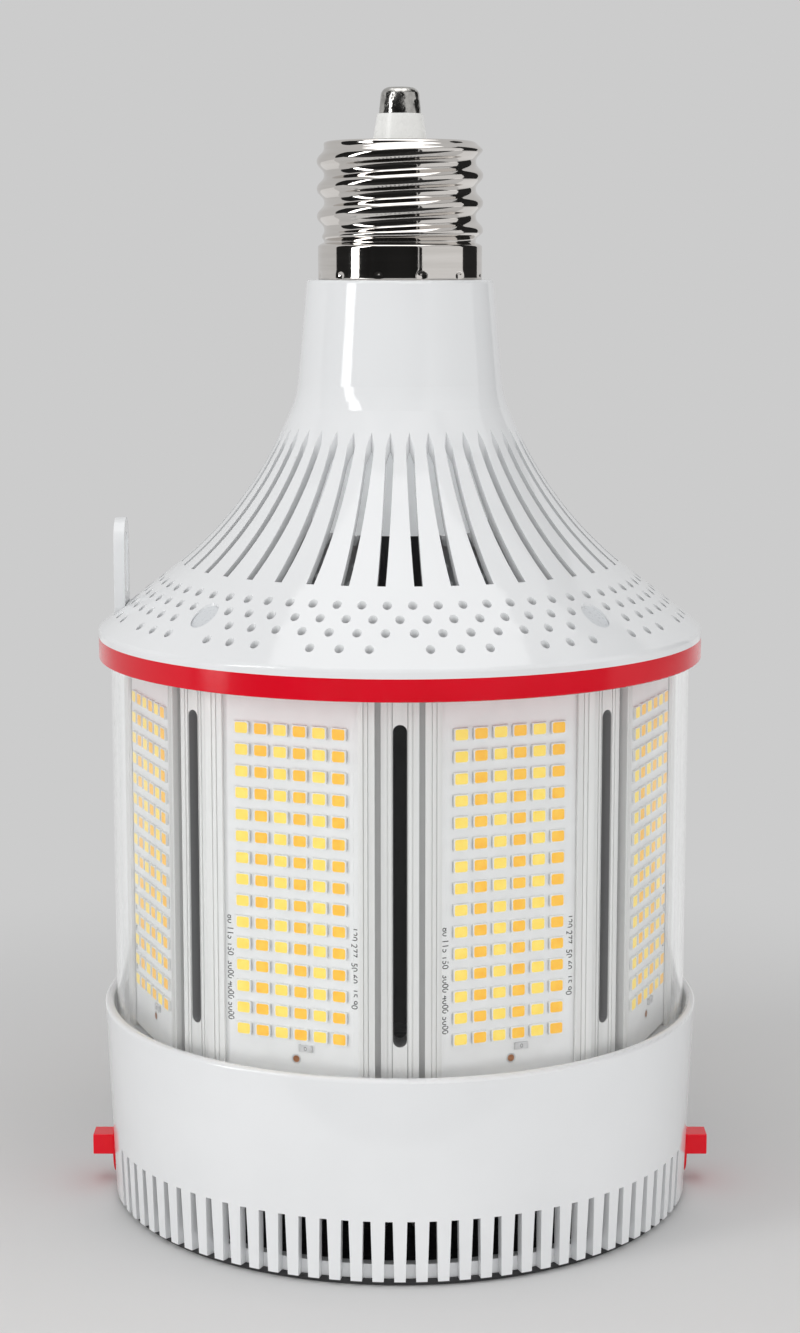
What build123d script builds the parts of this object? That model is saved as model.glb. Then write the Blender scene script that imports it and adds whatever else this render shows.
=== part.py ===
"""LED retrofit bulb: a mogul screw cap on a white bell, a ring of LED boards in a clear tube and a
fan in the lower cover. Millimetres, +Z up, origin on the lamp's axis at the face it stands on."""

import os
from math import acos, cos, radians, sin, tan

from build123d import *

os.makedirs("parts", exist_ok=True)

# Clearances
seat_gap = 0.15  # between fixed pieces that slip together
run_gap = 0.05  # round a turning stem or shaft
free_gap = 0.3  # between a turning piece and what it passes

# Outside of the lamp
body_radius = 72.3  # bell rim, trim band and top of the lower cover

# Base plate
foot_lip = 1.2  # thickness of the plate's rim under the lower cover
plate_thickness = 2.4
plate_rim_radius = 68.9
grille_slots = 30
grille_inner_radius = 15.0
grille_outer_radius = 40.0
grille_slot_width = 2.4

# Lower cover
cover_height = 47.5
cover_foot_radius = 70.3
cover_wall = 2.2
cover_rim_round = 0.9
foot_ring_height = 3.3
foot_ring_thickness = 2.4
vents_per_side = 36
vent_pitch = 4.0  # degrees
vent_height = 14.3
vent_foot_width = 2.36
vent_head_width = 1.7
rim_depth = 6.7  # from the cover's rim down to its shelf
shelf_thickness = 2.0
shelf_bore = 58.6
pillar_radius = 3.5
pillar_circle = 60.0
pillar_angle = 14.0  # degrees either side of a switch

# Heat sink, an extrusion with one flat for each board
sides = 8
sink_length = 94.2
sink_bore = 58.0
post_face = 65.3
post_half_width = 4.2
groove_width = 1.3
groove_depth = 1.7
lip_overlap = 1.1
lip_thickness = 0.8
die_line = 0.28  # width and depth of the fine grooves along the extrusion
lip_lines = (17.7, 18.8)  # from the middle of a flat
post_lines = (1.75, 2.75)  # from the middle of a post
corner_slot_width = 3.1
slot_foot_margin = 12.1
slot_head_margin = 9.4
fin_thickness = 1.5
fin_spacing = 7.0
fin_lengths = (23.0, 20.0, 11.0)  # at the middle of a flat, then outwards

# LED boards
board_face = 62.6  # from the axis to a board's front
board_thickness = 1.6
board_width = 35.0
board_end_gap = 1.0
led_width = 3.5
led_height = 2.8
led_thickness = 0.7
led_columns = 6
led_rows = 15
led_column_pitch = 4.68
led_row_pitch = 4.93
array_rise = 0.6  # the array's centre above the board's
resistor_size = (3.2, 1.6)
resistor_thickness = 0.55
resistor_place = (3.3, -37.1)  # from the board's centre

# Lens
lens_radius = 69.4
lens_wall = 1.5

# Trim band
band_height = 5.1
band_flange = 1.7
band_bore = 59.0
band_round = 0.3

# Bell housing
bell_wall = 2.0
bell_lip_height = 1.9
rim_round = 1.1
flare_angle = 52.1  # degrees from the axis
throat_angle = 21.0
neck_draft = 5.2
flare_radius = 89.0
throat_radius = 20.0
neck_base_radius = 24.3
neck_length = 24.2
neck_round = 0.8
neck_bore = 19.8
neck_ceiling = 2.0
bell_floor = 1.4  # ring inside the rim, over the band's flange
bell_slots = 40
bell_slot_width = 1.9
bell_slot_tip_radius = 27.5
bell_slot_inner_radius = 29.0
bell_slot_outer_radius = 52.3
holes_per_row = 64
hole_diameter = 2.05
# each row: radius, start in pitches, and which holes of a repeat of 16 are left out
hole_rows = (
    (56.9, 0.5, ()),
    (60.3, 0.0, (8,)),
    (63.6, 0.5, (7, 8)),
    (67.4, 0.0, (0, 4, 8, 12)),
)
recess_radius = 3.15
recess_wall = 0.9
recess_floor = 3.1

# Tether eye
eye_angle = 180.0
eye_circle = 66.95
eye_thickness = 2.55
eye_width = 12.0
eye_height = 27.65
eye_slot_width = 5.0
eye_slot_length = 14.5
eye_slot_margin = 3.6  # from the top of the tongue to the top of the slot

# Screw cap
shell_height = 32.0
shell_wall = 0.5
shell_lip = 3.0
crest_radius = 19.6
root_radius = 17.9
skirt_radius = 19.4
skirt_height = 8.3
thread_pitch = 6.35
thread_turns = 2.8
thread_width = 4.9
crimps = 12
crimp_radius = 1.0
crimp_depth = 0.35
crimp_height = 0.95
spigot_wall = 2.2
insulator_thickness = 5.0
cone_foot_radius = 6.5
cone_head_radius = 5.35
cone_height = 6.8
contact_radius = 4.95
contact_head_radius = 4.35
contact_height = 6.1
contact_round = 2.0
contact_stem_radius = 1.9
contact_stem_length = 9.0

# Driver
case_radius = 21.0
case_wall = 1.6
case_drop = 34.6  # from the foot of the neck down to the case's mouth
case_gap = 0.6  # between the case's shoulder and the bell
lid_thickness = 2.0
lid_rim_height = 3.0
lid_rim_width = 2.6
driver_board_thickness = 1.6
transformer_size = (14.0, 14.5, 11.5)
transformer_x = -9.5
transformer_round = 1.5
capacitor_radius = 4.9
capacitor_height = 36.0
capacitor_place = (7.5, 6.4)
inductor_radius = 4.0
inductor_bore = 1.8
inductor_height = 7.0
inductor_x = 14.4
rectifier_size = (8.0, 3.2, 7.0)
rectifier_y = 15.4
conduit_radius = 6.0
conduit_wall = 1.2

# Fan
fan_size = 80.0
fan_depth = 20.0
fan_hole_pitch = 71.5
fan_corner_round = 4.0
fan_bore = 38.6
fan_turn = 22.5  # degrees from the axis X to a corner
motor_plate_radius = 14.0
motor_plate_thickness = 2.0
strut_width = 3.2
bearing_radius = 2.5
bearing_length = 11.0
bearing_tube_wall = 1.4
shaft_radius = 1.5
hub_radius = 15.0
hub_wall = 1.4
hub_height = 14.6
magnet_thickness = 1.6
blades = 7
blade_tip_gap = 1.1
blade_thickness = 1.3
blade_root_chord = 15.0
blade_tip_chord = 22.0
blade_root_pitch = 52.0
blade_tip_pitch = 32.0
stator_radius = 11.4
stator_height = 8.0
stator_core_radius = 6.3
shoe_width = 1.8
arm_width = 3.0
coil_build = 1.6

# Selector knobs and switches
knob_height = 9.65
knob_flange_radius = 7.3
knob_flange_thickness = 1.2
knob_seat = 69.5  # from the axis to the floor of the knob's recess
knob_bar = (6.3, 5.1, 5.35)  # along the wall, up and outwards
knob_bar_round = 0.4
knob_stem_radius = 3.0
knob_stem_length = 9.4
pad_face = 66.0
pad_width = 18.0
pad_top = 19.0
switch_width = 15.0
switch_height = 9.6
switch_depth = 8.0
switch_board_width = 20.0
switch_board_thickness = 1.6

# Screws
screw_radius = 1.5
screw_head_radius = 2.75
screw_head_height = 1.9
screw_drive = (3.4, 0.8, 1.1)  # length, width and depth of the cross in a head
screw_circle = 62.0  # bell and lower cover to the posts of the sink
thread_web = 1.4  # metal left between a screw and a corner slot
fan_screw_reach = 8.0
base_screw_reach = 9.0
port_radius = 3.6

# Heights that follow from the sizes
cover_top = foot_lip + cover_height
shelf_top = cover_top - rim_depth
shelf_bottom = shelf_top - shelf_thickness
foot_ring_top = foot_lip + foot_ring_height
sink_top = shelf_top + sink_length
sink_middle = (shelf_top + sink_top) / 2
band_top = sink_top + band_flange
band_bottom = band_top - band_height
bell_lip_top = band_top + bell_lip_height
screw_hole = screw_radius + run_gap


def polar(radius, angle):
    """A point at a radius and an angle in degrees."""
    return (radius * cos(radians(angle)), radius * sin(radians(angle)))


def radial_plane(angle, radius, height):
    """A plane that faces away from the axis, with its own X along the wall and its Y upwards."""
    x, y = polar(1, angle)
    return Plane(origin=(radius * x, radius * y, height), x_dir=(-y, x, 0), z_dir=(x, y, 0))


def section(*points):
    """A closed outline of (radius, height) points, ready to be turned about the axis."""
    with BuildSketch(Plane.XZ) as outline:
        with BuildLine():
            Polyline(*points, close=True)
        make_face()
    return outline.sketch


def ring(outer, inner, bottom, top):
    """The section of a plain ring or tube."""
    return section((inner, bottom), (outer, bottom), (outer, top), (inner, top))


def circles_at(part, radius, height):
    """The round edges of a part with this radius at this height."""
    return part.edges().filter_by(GeomType.CIRCLE).filter_by(
        lambda edge: abs(edge.radius - radius) < 0.01 and abs(edge.center().Z - height) < 0.01
    )


def screws(places, seat, reach, up=True):
    """Round-headed cross screws with their heads on the seat height and their tips along the reach."""
    grip = Align.MIN if up else Align.MAX
    head = Align.MAX if up else Align.MIN
    cross_length, cross_width, cross_depth = screw_drive
    face = seat - screw_head_height if up else seat + screw_head_height
    cross = Align.MIN if up else Align.MAX
    with BuildPart() as group:
        for x, y in places:
            with Locations((x, y, seat)):
                Cylinder(screw_radius, reach, align=(Align.CENTER, Align.CENTER, grip))
                Cylinder(screw_head_radius, screw_head_height, align=(Align.CENTER, Align.CENTER, head))
            with Locations((x, y, face)):
                for size in ((cross_length, cross_width), (cross_width, cross_length)):
                    Box(*size, cross_depth, align=(Align.CENTER, Align.CENTER, cross), mode=Mode.SUBTRACT)
    return group


def save(part, label):
    """Name a finished piece and write it."""
    part.label = label
    export_step(part, f"parts/{label}.step")


# Base plate: a dark disc with the fan's intake grille and its screws sunk in from below
pillar_places = [
    polar(pillar_circle, side + turn) for side in (0, 180) for turn in (-pillar_angle, pillar_angle)
]
foot_ring_bore = cover_foot_radius - cover_wall - foot_ring_thickness
plug_radius = foot_ring_bore - seat_gap
base_seat = screw_head_height + seat_gap

with BuildPart() as base_plate:
    revolve(
        section(
            (0, 0),
            (plate_rim_radius, 0),
            (plate_rim_radius, foot_lip),
            (plug_radius, foot_lip),
            (plug_radius, plate_thickness),
            (0, plate_thickness),
        )
    )
    with BuildSketch():
        with PolarLocations((grille_inner_radius + grille_outer_radius) / 2, grille_slots):
            SlotOverall(grille_outer_radius - grille_inner_radius, grille_slot_width)
    extrude(amount=plate_thickness, mode=Mode.SUBTRACT)
    with Locations(*pillar_places):
        Cylinder(
            screw_head_radius + seat_gap,
            base_seat,
            align=(Align.CENTER, Align.CENTER, Align.MIN),
            mode=Mode.SUBTRACT,
        )
        Cylinder(screw_hole, 2 * plate_thickness, mode=Mode.SUBTRACT)
save(base_plate.part, "base_plate")

base_screws = screws(pillar_places, base_seat, base_screw_reach)
save(base_screws.part, "base_screws")


# Lower cover: a tapered cup with comb-like vents, a shelf for the lens and sink, and switch pads
def cover_outside(height):
    """The cover's outer radius at a height."""
    share = (height - foot_lip) / cover_height
    return cover_foot_radius + (body_radius - cover_foot_radius) * share


def cover_inside(height):
    """The cover's inner radius at a height."""
    return cover_outside(height) - cover_wall


post_angles = [45 + 90 * quarter for quarter in range(4)]
post_places = [polar(screw_circle, angle) for angle in post_angles]
switch_sides = {"power": 0, "colour": 180}
vent_root = cover_inside(foot_lip)
vent_reach = body_radius - vent_root
vent_angles = [
    side + vent_pitch * (vent - (vents_per_side - 1) / 2)
    for side in (-90, 90)
    for vent in range(vents_per_side)
]

with BuildPart() as cover_cavity:
    revolve(
        section(
            (0, foot_lip),
            (foot_ring_bore, foot_lip),
            (foot_ring_bore, foot_ring_top),
            (cover_inside(foot_ring_top), foot_ring_top),
            (cover_inside(shelf_bottom), shelf_bottom),
            (shelf_bore, shelf_bottom),
            (shelf_bore, shelf_top),
            (cover_inside(shelf_top), shelf_top),
            (cover_inside(cover_top), cover_top),
            (0, cover_top),
        )
    )
    with Locations(*[(x, y, plate_thickness) for x, y in pillar_places]):
        Cylinder(
            pillar_radius,
            shelf_bottom - plate_thickness,
            align=(Align.CENTER, Align.CENTER, Align.MIN),
            mode=Mode.SUBTRACT,
        )
    for side in switch_sides.values():
        with BuildSketch(radial_plane(side, pad_face, foot_ring_top)):
            Rectangle(pad_width, pad_top - foot_ring_top, align=(Align.CENTER, Align.MIN))
        extrude(amount=body_radius - pad_face, mode=Mode.SUBTRACT)

with BuildPart() as lower_cover:
    revolve(
        section((0, foot_lip), (cover_foot_radius, foot_lip), (body_radius, cover_top), (0, cover_top))
    )
    add(cover_cavity.part, mode=Mode.SUBTRACT)
    fillet(circles_at(lower_cover, body_radius, cover_top), cover_rim_round)
    fillet(circles_at(lower_cover, cover_inside(cover_top), cover_top), cover_rim_round)
    with BuildSketch(*[radial_plane(angle, vent_root, foot_lip) for angle in vent_angles]):
        with BuildLine():
            Polyline(
                (-vent_foot_width / 2, 0),
                (vent_foot_width / 2, 0),
                (vent_head_width / 2, vent_height),
                (-vent_head_width / 2, vent_height),
                close=True,
            )
        make_face()
    extrude(amount=vent_reach, mode=Mode.SUBTRACT)
    with Locations(*[(x, y, plate_thickness) for x, y in pillar_places]):
        Cylinder(
            screw_hole,
            base_screw_reach,
            align=(Align.CENTER, Align.CENTER, Align.MIN),
            mode=Mode.SUBTRACT,
        )
    with Locations(*[(x, y, shelf_top) for x, y in post_places]):
        Cylinder(screw_hole, 4 * shelf_thickness, mode=Mode.SUBTRACT)
    for side in switch_sides.values():
        with BuildSketch(radial_plane(side, pad_face, knob_height)):
            Circle(knob_stem_radius + free_gap)
        extrude(amount=body_radius - pad_face, mode=Mode.SUBTRACT)
        with BuildSketch(radial_plane(side, knob_seat, knob_height)):
            Circle(knob_flange_radius + free_gap)
        extrude(amount=body_radius - knob_seat, mode=Mode.SUBTRACT)
save(lower_cover.part, "lower_cover")

cover_screws = screws(post_places, shelf_bottom, shelf_thickness + slot_foot_margin - thread_web)
save(cover_screws.part, "cover_screws")

# Selector knobs: a bar on a round flange, with a stem that turns the switch behind the wall
flange_back = knob_seat + run_gap
bar_length, bar_height, bar_reach = knob_bar

for name, side in switch_sides.items():
    with BuildPart() as knob:
        with BuildSketch(radial_plane(side, flange_back, knob_height)):
            Circle(knob_flange_radius)
        extrude(amount=knob_flange_thickness)
        with BuildSketch(radial_plane(side, flange_back + knob_flange_thickness, knob_height)):
            RectangleRounded(bar_length, bar_height, knob_bar_round)
        extrude(amount=bar_reach)
        outer_face = knob.faces().sort_by(Axis.X)[-1 if side == 0 else 0]
        fillet(outer_face.edges(), knob_bar_round / 2)
        with BuildSketch(radial_plane(side, flange_back, knob_height)):
            Circle(knob_stem_radius)
        extrude(amount=-knob_stem_length)
    save(knob.part, f"{name}_knob")

    with BuildPart() as switch:
        with BuildSketch(radial_plane(side, pad_face, knob_height)):
            Rectangle(switch_width, switch_height)
        extrude(amount=-switch_depth)
        with BuildSketch(radial_plane(side, pad_face, knob_height)):
            Circle(knob_stem_radius + run_gap)
        extrude(amount=flange_back - knob_stem_length - free_gap - pad_face, mode=Mode.SUBTRACT)
    save(switch.part, f"{name}_switch")

    with BuildPart() as switch_board:
        with BuildSketch(radial_plane(side, pad_face - switch_depth, knob_height)):
            Rectangle(switch_board_width, switch_height)
        extrude(amount=-switch_board_thickness)
    save(switch_board.part, f"{name}_switch_board")

# Heat sink: the outline of one flat with its board lips, then one corner post, round all the sides
half_side = 180 / sides
board_seat = board_face - board_thickness
lip_under = board_face + seat_gap
lip_top = lip_under + lip_thickness
seat_half = board_width / 2 + seat_gap
lip_inner = board_width / 2 - lip_overlap
groove_outer = post_half_width + groove_width
lip_outer = (lip_top * sin(radians(half_side)) - groove_outer) / cos(radians(half_side))
groove_floor = post_face - groove_depth


def lined(face, places):
    """Points of a flat face at a distance from the axis, with a fine groove at each place along it."""
    floor = face - die_line
    points = []
    for place in places:
        near = place - die_line / 2
        far = place + die_line / 2
        points += [(face, near), (floor, near), (floor, far), (face, far)]
    return points


flat_half = [
    (board_seat, seat_half),
    (lip_under, seat_half),
    (lip_under, lip_inner),
    (lip_top, lip_inner),
    *lined(lip_top, lip_lines),
    (lip_top, lip_outer),
]
post_half = [
    *lined(post_face, post_lines),
    (post_face, post_half_width),
    (groove_floor, post_half_width),
    (groove_floor, groove_outer),
]
flat_angles = [half_side + 2 * half_side * side for side in range(sides)]
fan_screw_circle = fan_hole_pitch / 2**0.5
port_angles = [fan_turn + 90 * quarter for quarter in range(4)]
port_places = [polar(fan_screw_circle, angle) for angle in port_angles]


def turned_points(points, angle):
    """Points given outwards and along the wall, set at an angle about the axis."""
    along = [polar(out, angle) for out, _ in points]
    across = [polar(shift, angle + 90) for _, shift in points]
    return [(a[0] + b[0], a[1] + b[1]) for a, b in zip(along, across)]


def both_halves(half):
    """One half of an outline with its mirror image before it."""
    return [(out, -shift) for out, shift in reversed(half)] + half


sink_outline = []
for angle in flat_angles:
    sink_outline += turned_points(both_halves(flat_half), angle)
    sink_outline += turned_points(both_halves(post_half), angle + half_side)

with BuildPart() as heat_sink:
    with BuildSketch(Plane.XY.offset(shelf_top)):
        with BuildLine():
            Polyline(*sink_outline, close=True)
        make_face()
        Circle(sink_bore, mode=Mode.SUBTRACT)
        for angle in flat_angles:
            for step, length in enumerate(fin_lengths):
                for shift in {step * fin_spacing, -step * fin_spacing}:
                    root = (sink_bore**2 - shift**2) ** 0.5
                    place = turned_points([(root + fin_thickness / 2 - length / 2, shift)], angle)[0]
                    with Locations(Location((*place, 0), (0, 0, angle))):
                        Rectangle(length + fin_thickness, fin_thickness)
        with Locations(*port_places):
            Circle(port_radius)
    extrude(amount=sink_length)
    with Locations(*[(x, y, shelf_top) for x, y in port_places]):
        Cylinder(screw_hole, 2 * fan_screw_reach, mode=Mode.SUBTRACT)
    with Locations(*[(x, y, shelf_top) for x, y in post_places]):
        Cylinder(screw_hole, 2 * (slot_foot_margin - thread_web), mode=Mode.SUBTRACT)
    with Locations(*[(x, y, sink_top) for x, y in post_places]):
        Cylinder(screw_hole, 2 * (slot_head_margin - thread_web), mode=Mode.SUBTRACT)
    slot_length = sink_length - slot_foot_margin - slot_head_margin
    slot_middle = sink_middle + (slot_foot_margin - slot_head_margin) / 2
    slot_planes = [
        radial_plane(angle + half_side, sink_bore - fin_thickness, slot_middle) for angle in flat_angles
    ]
    with BuildSketch(*slot_planes):
        SlotOverall(slot_length, corner_slot_width, rotation=90)
    extrude(amount=body_radius - sink_bore, mode=Mode.SUBTRACT)
save(heat_sink.part, "heat_sink")

# LED boards with their LEDs soldered on in rows and columns, and one chip resistor each
for number, angle in enumerate(flat_angles, start=1):
    with BuildPart() as led_board:
        with BuildSketch(radial_plane(angle, board_seat, sink_middle)):
            Rectangle(board_width, sink_length - 2 * board_end_gap)
        extrude(amount=board_thickness)
        with BuildSketch(radial_plane(angle, board_face, sink_middle + array_rise)):
            with GridLocations(led_column_pitch, led_row_pitch, led_columns, led_rows):
                Rectangle(led_width, led_height)
        extrude(amount=led_thickness)
    save(led_board.part, f"led_board_{number}")

with BuildPart() as chip_resistors:
    with BuildSketch(*[radial_plane(angle, board_face, sink_middle) for angle in flat_angles]):
        with Locations(resistor_place):
            Rectangle(*resistor_size)
    extrude(amount=resistor_thickness)
save(chip_resistors.part, "chip_resistors")

# Lens: a clear tube that stands on the cover's shelf
with BuildPart() as lens_tube:
    revolve(ring(lens_radius, lens_radius - lens_wall, shelf_top, sink_top))
save(lens_tube.part, "lens_tube")

# Trim band: a red ring over the lens, with a flange that is clamped between the sink and the bell
with BuildPart() as trim_band:
    revolve(
        section(
            (band_bore, sink_top),
            (lens_radius + seat_gap, sink_top),
            (lens_radius + seat_gap, band_bottom),
            (body_radius, band_bottom),
            (body_radius, band_top),
            (band_bore, band_top),
        )
    )
    fillet(circles_at(trim_band, body_radius, band_bottom), band_round)
    with Locations(*[(x, y, band_top) for x, y in post_places]):
        Cylinder(screw_hole, 4 * band_flange, mode=Mode.SUBTRACT)
save(trim_band.part, "trim_band")


# Bell housing: lip, straight flare, two tangent arcs and a drafted neck, with a floor ring in the rim
def along(point, length, angle):
    """A point moved outwards by a length at an angle above the horizontal."""
    return (point[0] + length * cos(radians(angle)), point[1] + length * sin(radians(angle)))


arc_width = flare_radius * (cos(radians(throat_angle)) - cos(radians(flare_angle)))
throat_width = throat_radius * (cos(radians(neck_draft)) - cos(radians(throat_angle)))
flare_width = body_radius - neck_base_radius - arc_width - throat_width
flare_end = (body_radius - flare_width, bell_lip_top + flare_width / tan(radians(flare_angle)))
flare_centre = along(flare_end, flare_radius, flare_angle)
throat_start = along(flare_centre, -flare_radius, throat_angle)
throat_centre = along(throat_start, throat_radius, throat_angle)
neck_base = along(throat_centre, -throat_radius, neck_draft)
neck_top = neck_base[1] + neck_length
neck_top_radius = neck_base[0] - neck_length * tan(radians(neck_draft))
ceiling = neck_top - neck_ceiling
bore_foot = neck_base[1] + (neck_base[0] - neck_bore)


def flare_curves(wall):
    """The flare, throat and neck arcs of the bell, set in by a wall, from the flare up to the neck."""
    flare_in = flare_radius + wall
    throat_in = throat_radius + wall
    flare_mid = (flare_angle + throat_angle) / 2
    throat_mid = (throat_angle + neck_draft) / 2
    ThreePointArc(*[along(flare_centre, -flare_in, a) for a in (flare_angle, flare_mid, throat_angle)])
    ThreePointArc(*[along(throat_centre, -throat_in, a) for a in (throat_angle, throat_mid, neck_draft)])


inner_flare = along(flare_centre, -flare_radius - bell_wall, flare_angle)
inner_neck = along(throat_centre, -throat_radius - bell_wall, neck_draft)
lip_inside = body_radius - bell_wall
lip_inner_top = inner_flare[1] - (lip_inside - inner_flare[0]) / tan(radians(flare_angle))

with BuildPart() as bell_cavity:
    with BuildSketch(Plane.XZ):
        with BuildLine():
            flare_curves(bell_wall)
            Polyline(inner_neck, (neck_bore, bore_foot), (neck_bore, ceiling), (0, ceiling), (0, band_top))
            Polyline((0, band_top), (lip_inside, band_top), (lip_inside, lip_inner_top), inner_flare)
        make_face()
    revolve(axis=Axis.Z)
    with Locations(*[(x, y, band_top) for x, y in post_places]):
        Cylinder(
            recess_radius + recess_wall,
            neck_top - band_top,
            align=(Align.CENTER, Align.CENTER, Align.MIN),
            mode=Mode.SUBTRACT,
        )

spigot_radius = root_radius - shell_wall - seat_gap
skirt_spigot_radius = skirt_radius - shell_wall - seat_gap
spigot_bore = spigot_radius - spigot_wall
shell_top = neck_top + shell_height
insulator_top = shell_top - shell_wall
spigot_top = insulator_top - insulator_thickness
eye_plane = Plane(origin=(0, 0, band_top), x_dir=(*polar(1, eye_angle), 0), z_dir=(0, 0, 1))

hole_pitch = 360 / holes_per_row
repeat = holes_per_row // 4
eye_reach = eye_width / 2 + hole_diameter
hole_places = []
for row_radius, start, left_out in hole_rows:
    for hole in range(holes_per_row):
        place = polar(row_radius, (hole + start) * hole_pitch)
        across = row_radius * sin(radians((hole + start) * hole_pitch - eye_angle))
        under_eye = place[0] < 0 and abs(across) < eye_reach
        beside_eye = abs(row_radius - eye_circle) < eye_thickness / 2 + hole_diameter
        if hole % repeat not in left_out and not (under_eye and beside_eye):
            hole_places.append((*place, bell_lip_top))

with BuildPart() as bell_housing:
    with BuildSketch(Plane.XZ):
        with BuildLine():
            Polyline((0, band_top), (body_radius, band_top), (body_radius, bell_lip_top), flare_end)
            flare_curves(0)
            Polyline(neck_base, (neck_top_radius, neck_top), (0, neck_top), (0, band_top))
        make_face()
    revolve(axis=Axis.Z)
    fillet(circles_at(bell_housing, body_radius, bell_lip_top), rim_round)
    fillet(circles_at(bell_housing, neck_top_radius, neck_top), neck_round)
    add(bell_cavity.part, mode=Mode.SUBTRACT)
    with BuildSketch(Plane.XY.offset(band_top)):
        with PolarLocations(0, bell_slots, start_angle=180 / bell_slots):
            Polygon(
                (bell_slot_tip_radius, 0),
                (bell_slot_inner_radius, -bell_slot_width / 2),
                (bell_slot_outer_radius, -bell_slot_width / 2),
                (bell_slot_outer_radius, bell_slot_width / 2),
                (bell_slot_inner_radius, bell_slot_width / 2),
                align=None,
            )
    extrude(amount=neck_base[1] - band_top, mode=Mode.SUBTRACT)
    with Locations(*hole_places):
        Cylinder(hole_diameter / 2, flare_centre[1] - bell_lip_top, mode=Mode.SUBTRACT)
    revolve(ring(lip_inside, band_bore, band_top, band_top + bell_floor))
    with Locations(*[(x, y, band_top + recess_floor) for x, y in post_places]):
        Cylinder(
            recess_radius,
            neck_top - band_top,
            align=(Align.CENTER, Align.CENTER, Align.MIN),
            mode=Mode.SUBTRACT,
        )
        Cylinder(screw_hole, 4 * recess_floor, mode=Mode.SUBTRACT)
    with BuildSketch(eye_plane):
        with Locations((eye_circle, 0)):
            Rectangle(eye_thickness + 2 * seat_gap, eye_width + 2 * seat_gap)
    extrude(amount=eye_height, mode=Mode.SUBTRACT)
    revolve(ring(skirt_spigot_radius, spigot_bore, ceiling, neck_top + skirt_height - shell_wall))
    revolve(ring(spigot_radius, spigot_bore, ceiling, spigot_top))
    revolve(ring(spigot_bore, 0, ceiling, spigot_top), mode=Mode.SUBTRACT)
save(bell_housing.part, "bell_housing")

bell_screw_reach = recess_floor + band_flange + slot_head_margin - thread_web
bell_screws = screws(post_places, band_top + recess_floor, bell_screw_reach, up=False)
save(bell_screws.part, "bell_screws")

# Tether eye: a flat tongue that stands on the band's flange and passes up through the bell's shoulder
eye_slot_middle = eye_height - eye_slot_margin - eye_slot_length / 2
tongue_plane = radial_plane(eye_angle, eye_circle - eye_thickness / 2, band_top)

with BuildPart() as tether_eye:
    with BuildSketch(tongue_plane):
        with BuildLine():
            left_edge = Line((-eye_width / 2, 0), (-eye_width / 2, eye_height - eye_width / 2))
            top_arc = ThreePointArc(left_edge @ 1, (0, eye_height), (eye_width / 2, (left_edge @ 1).Y))
            Polyline(top_arc @ 1, (eye_width / 2, 0), left_edge @ 0)
        make_face()
        with Locations((0, eye_slot_middle)):
            SlotOverall(eye_slot_length, eye_slot_width, rotation=90, mode=Mode.SUBTRACT)
    extrude(amount=eye_thickness)
save(tether_eye.part, "tether_eye")

# Screw cap: a plain skirt with punched crimps, a rolled knuckle thread and a lip over the insulator
skirt_top = neck_top + skirt_height
thread_depth = crest_radius - root_radius
thread_start = skirt_top + thread_width / 2
thread_height = thread_pitch * thread_turns

with BuildPart() as screw_shell:
    revolve(
        section(
            (skirt_radius - shell_wall, neck_top),
            (skirt_radius, neck_top),
            (skirt_radius, skirt_top),
            (root_radius, skirt_top),
            (root_radius, shell_top),
            (root_radius - shell_lip, shell_top),
            (root_radius - shell_lip, insulator_top),
            (root_radius - shell_wall, insulator_top),
            (root_radius - shell_wall, skirt_top - shell_wall),
            (skirt_radius - shell_wall, skirt_top - shell_wall),
        )
    )
    with BuildLine() as thread_path:
        Helix(thread_pitch, thread_height, root_radius, center=(0, 0, thread_start))
    with BuildSketch(Plane(thread_path.line @ 0, x_dir=(1, 0, 0), z_dir=thread_path.line % 0)) as knuckle:
        with BuildLine():
            back = Line((-shell_wall / 2, -thread_width / 2), (-shell_wall / 2, thread_width / 2))
            ThreePointArc(back @ 1, (thread_depth, 0), back @ 0)
        make_face()
    sweep(knuckle.sketch, path=thread_path.line, is_frenet=True)
    with PolarLocations(skirt_radius + crimp_radius - crimp_depth, crimps, start_angle=180 / crimps):
        with Locations((0, 0, neck_top + crimp_height)):
            Sphere(crimp_radius, mode=Mode.SUBTRACT)
save(screw_shell.part, "screw_shell")

# Insulator and centre contact
cone_top = insulator_top + cone_height
contact_top = cone_top + contact_height

with BuildPart() as base_insulator:
    revolve(
        section(
            (contact_stem_radius + seat_gap, spigot_top),
            (root_radius - shell_wall - seat_gap, spigot_top),
            (root_radius - shell_wall - seat_gap, insulator_top),
            (cone_foot_radius, insulator_top),
            (cone_head_radius, cone_top),
            (contact_stem_radius + seat_gap, cone_top),
        )
    )
save(base_insulator.part, "base_insulator")

with BuildPart() as centre_contact:
    revolve(
        section(
            (0, cone_top),
            (contact_radius, cone_top),
            (contact_head_radius, contact_top),
            (0, contact_top),
        )
    )
    fillet(circles_at(centre_contact, contact_head_radius, contact_top), contact_round)
    revolve(ring(contact_stem_radius, 0, cone_top - contact_stem_length, cone_top))
save(centre_contact.part, "centre_contact")

# Driver: a case that hangs in the bell's neck, closed by a lid that carries the board
case_mouth = neck_base[1] - case_drop
case_neck_radius = neck_bore - seat_gap
shoulder_turn = acos((flare_centre[0] - case_radius - case_gap) / (flare_radius + bell_wall))
case_shoulder = flare_centre[1] - (flare_radius + bell_wall) * sin(shoulder_turn)
case_bore = case_radius - case_wall
lid_radius = case_bore - seat_gap
board_level = case_mouth + lid_thickness + lid_rim_height
parts_level = board_level + driver_board_thickness

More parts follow.
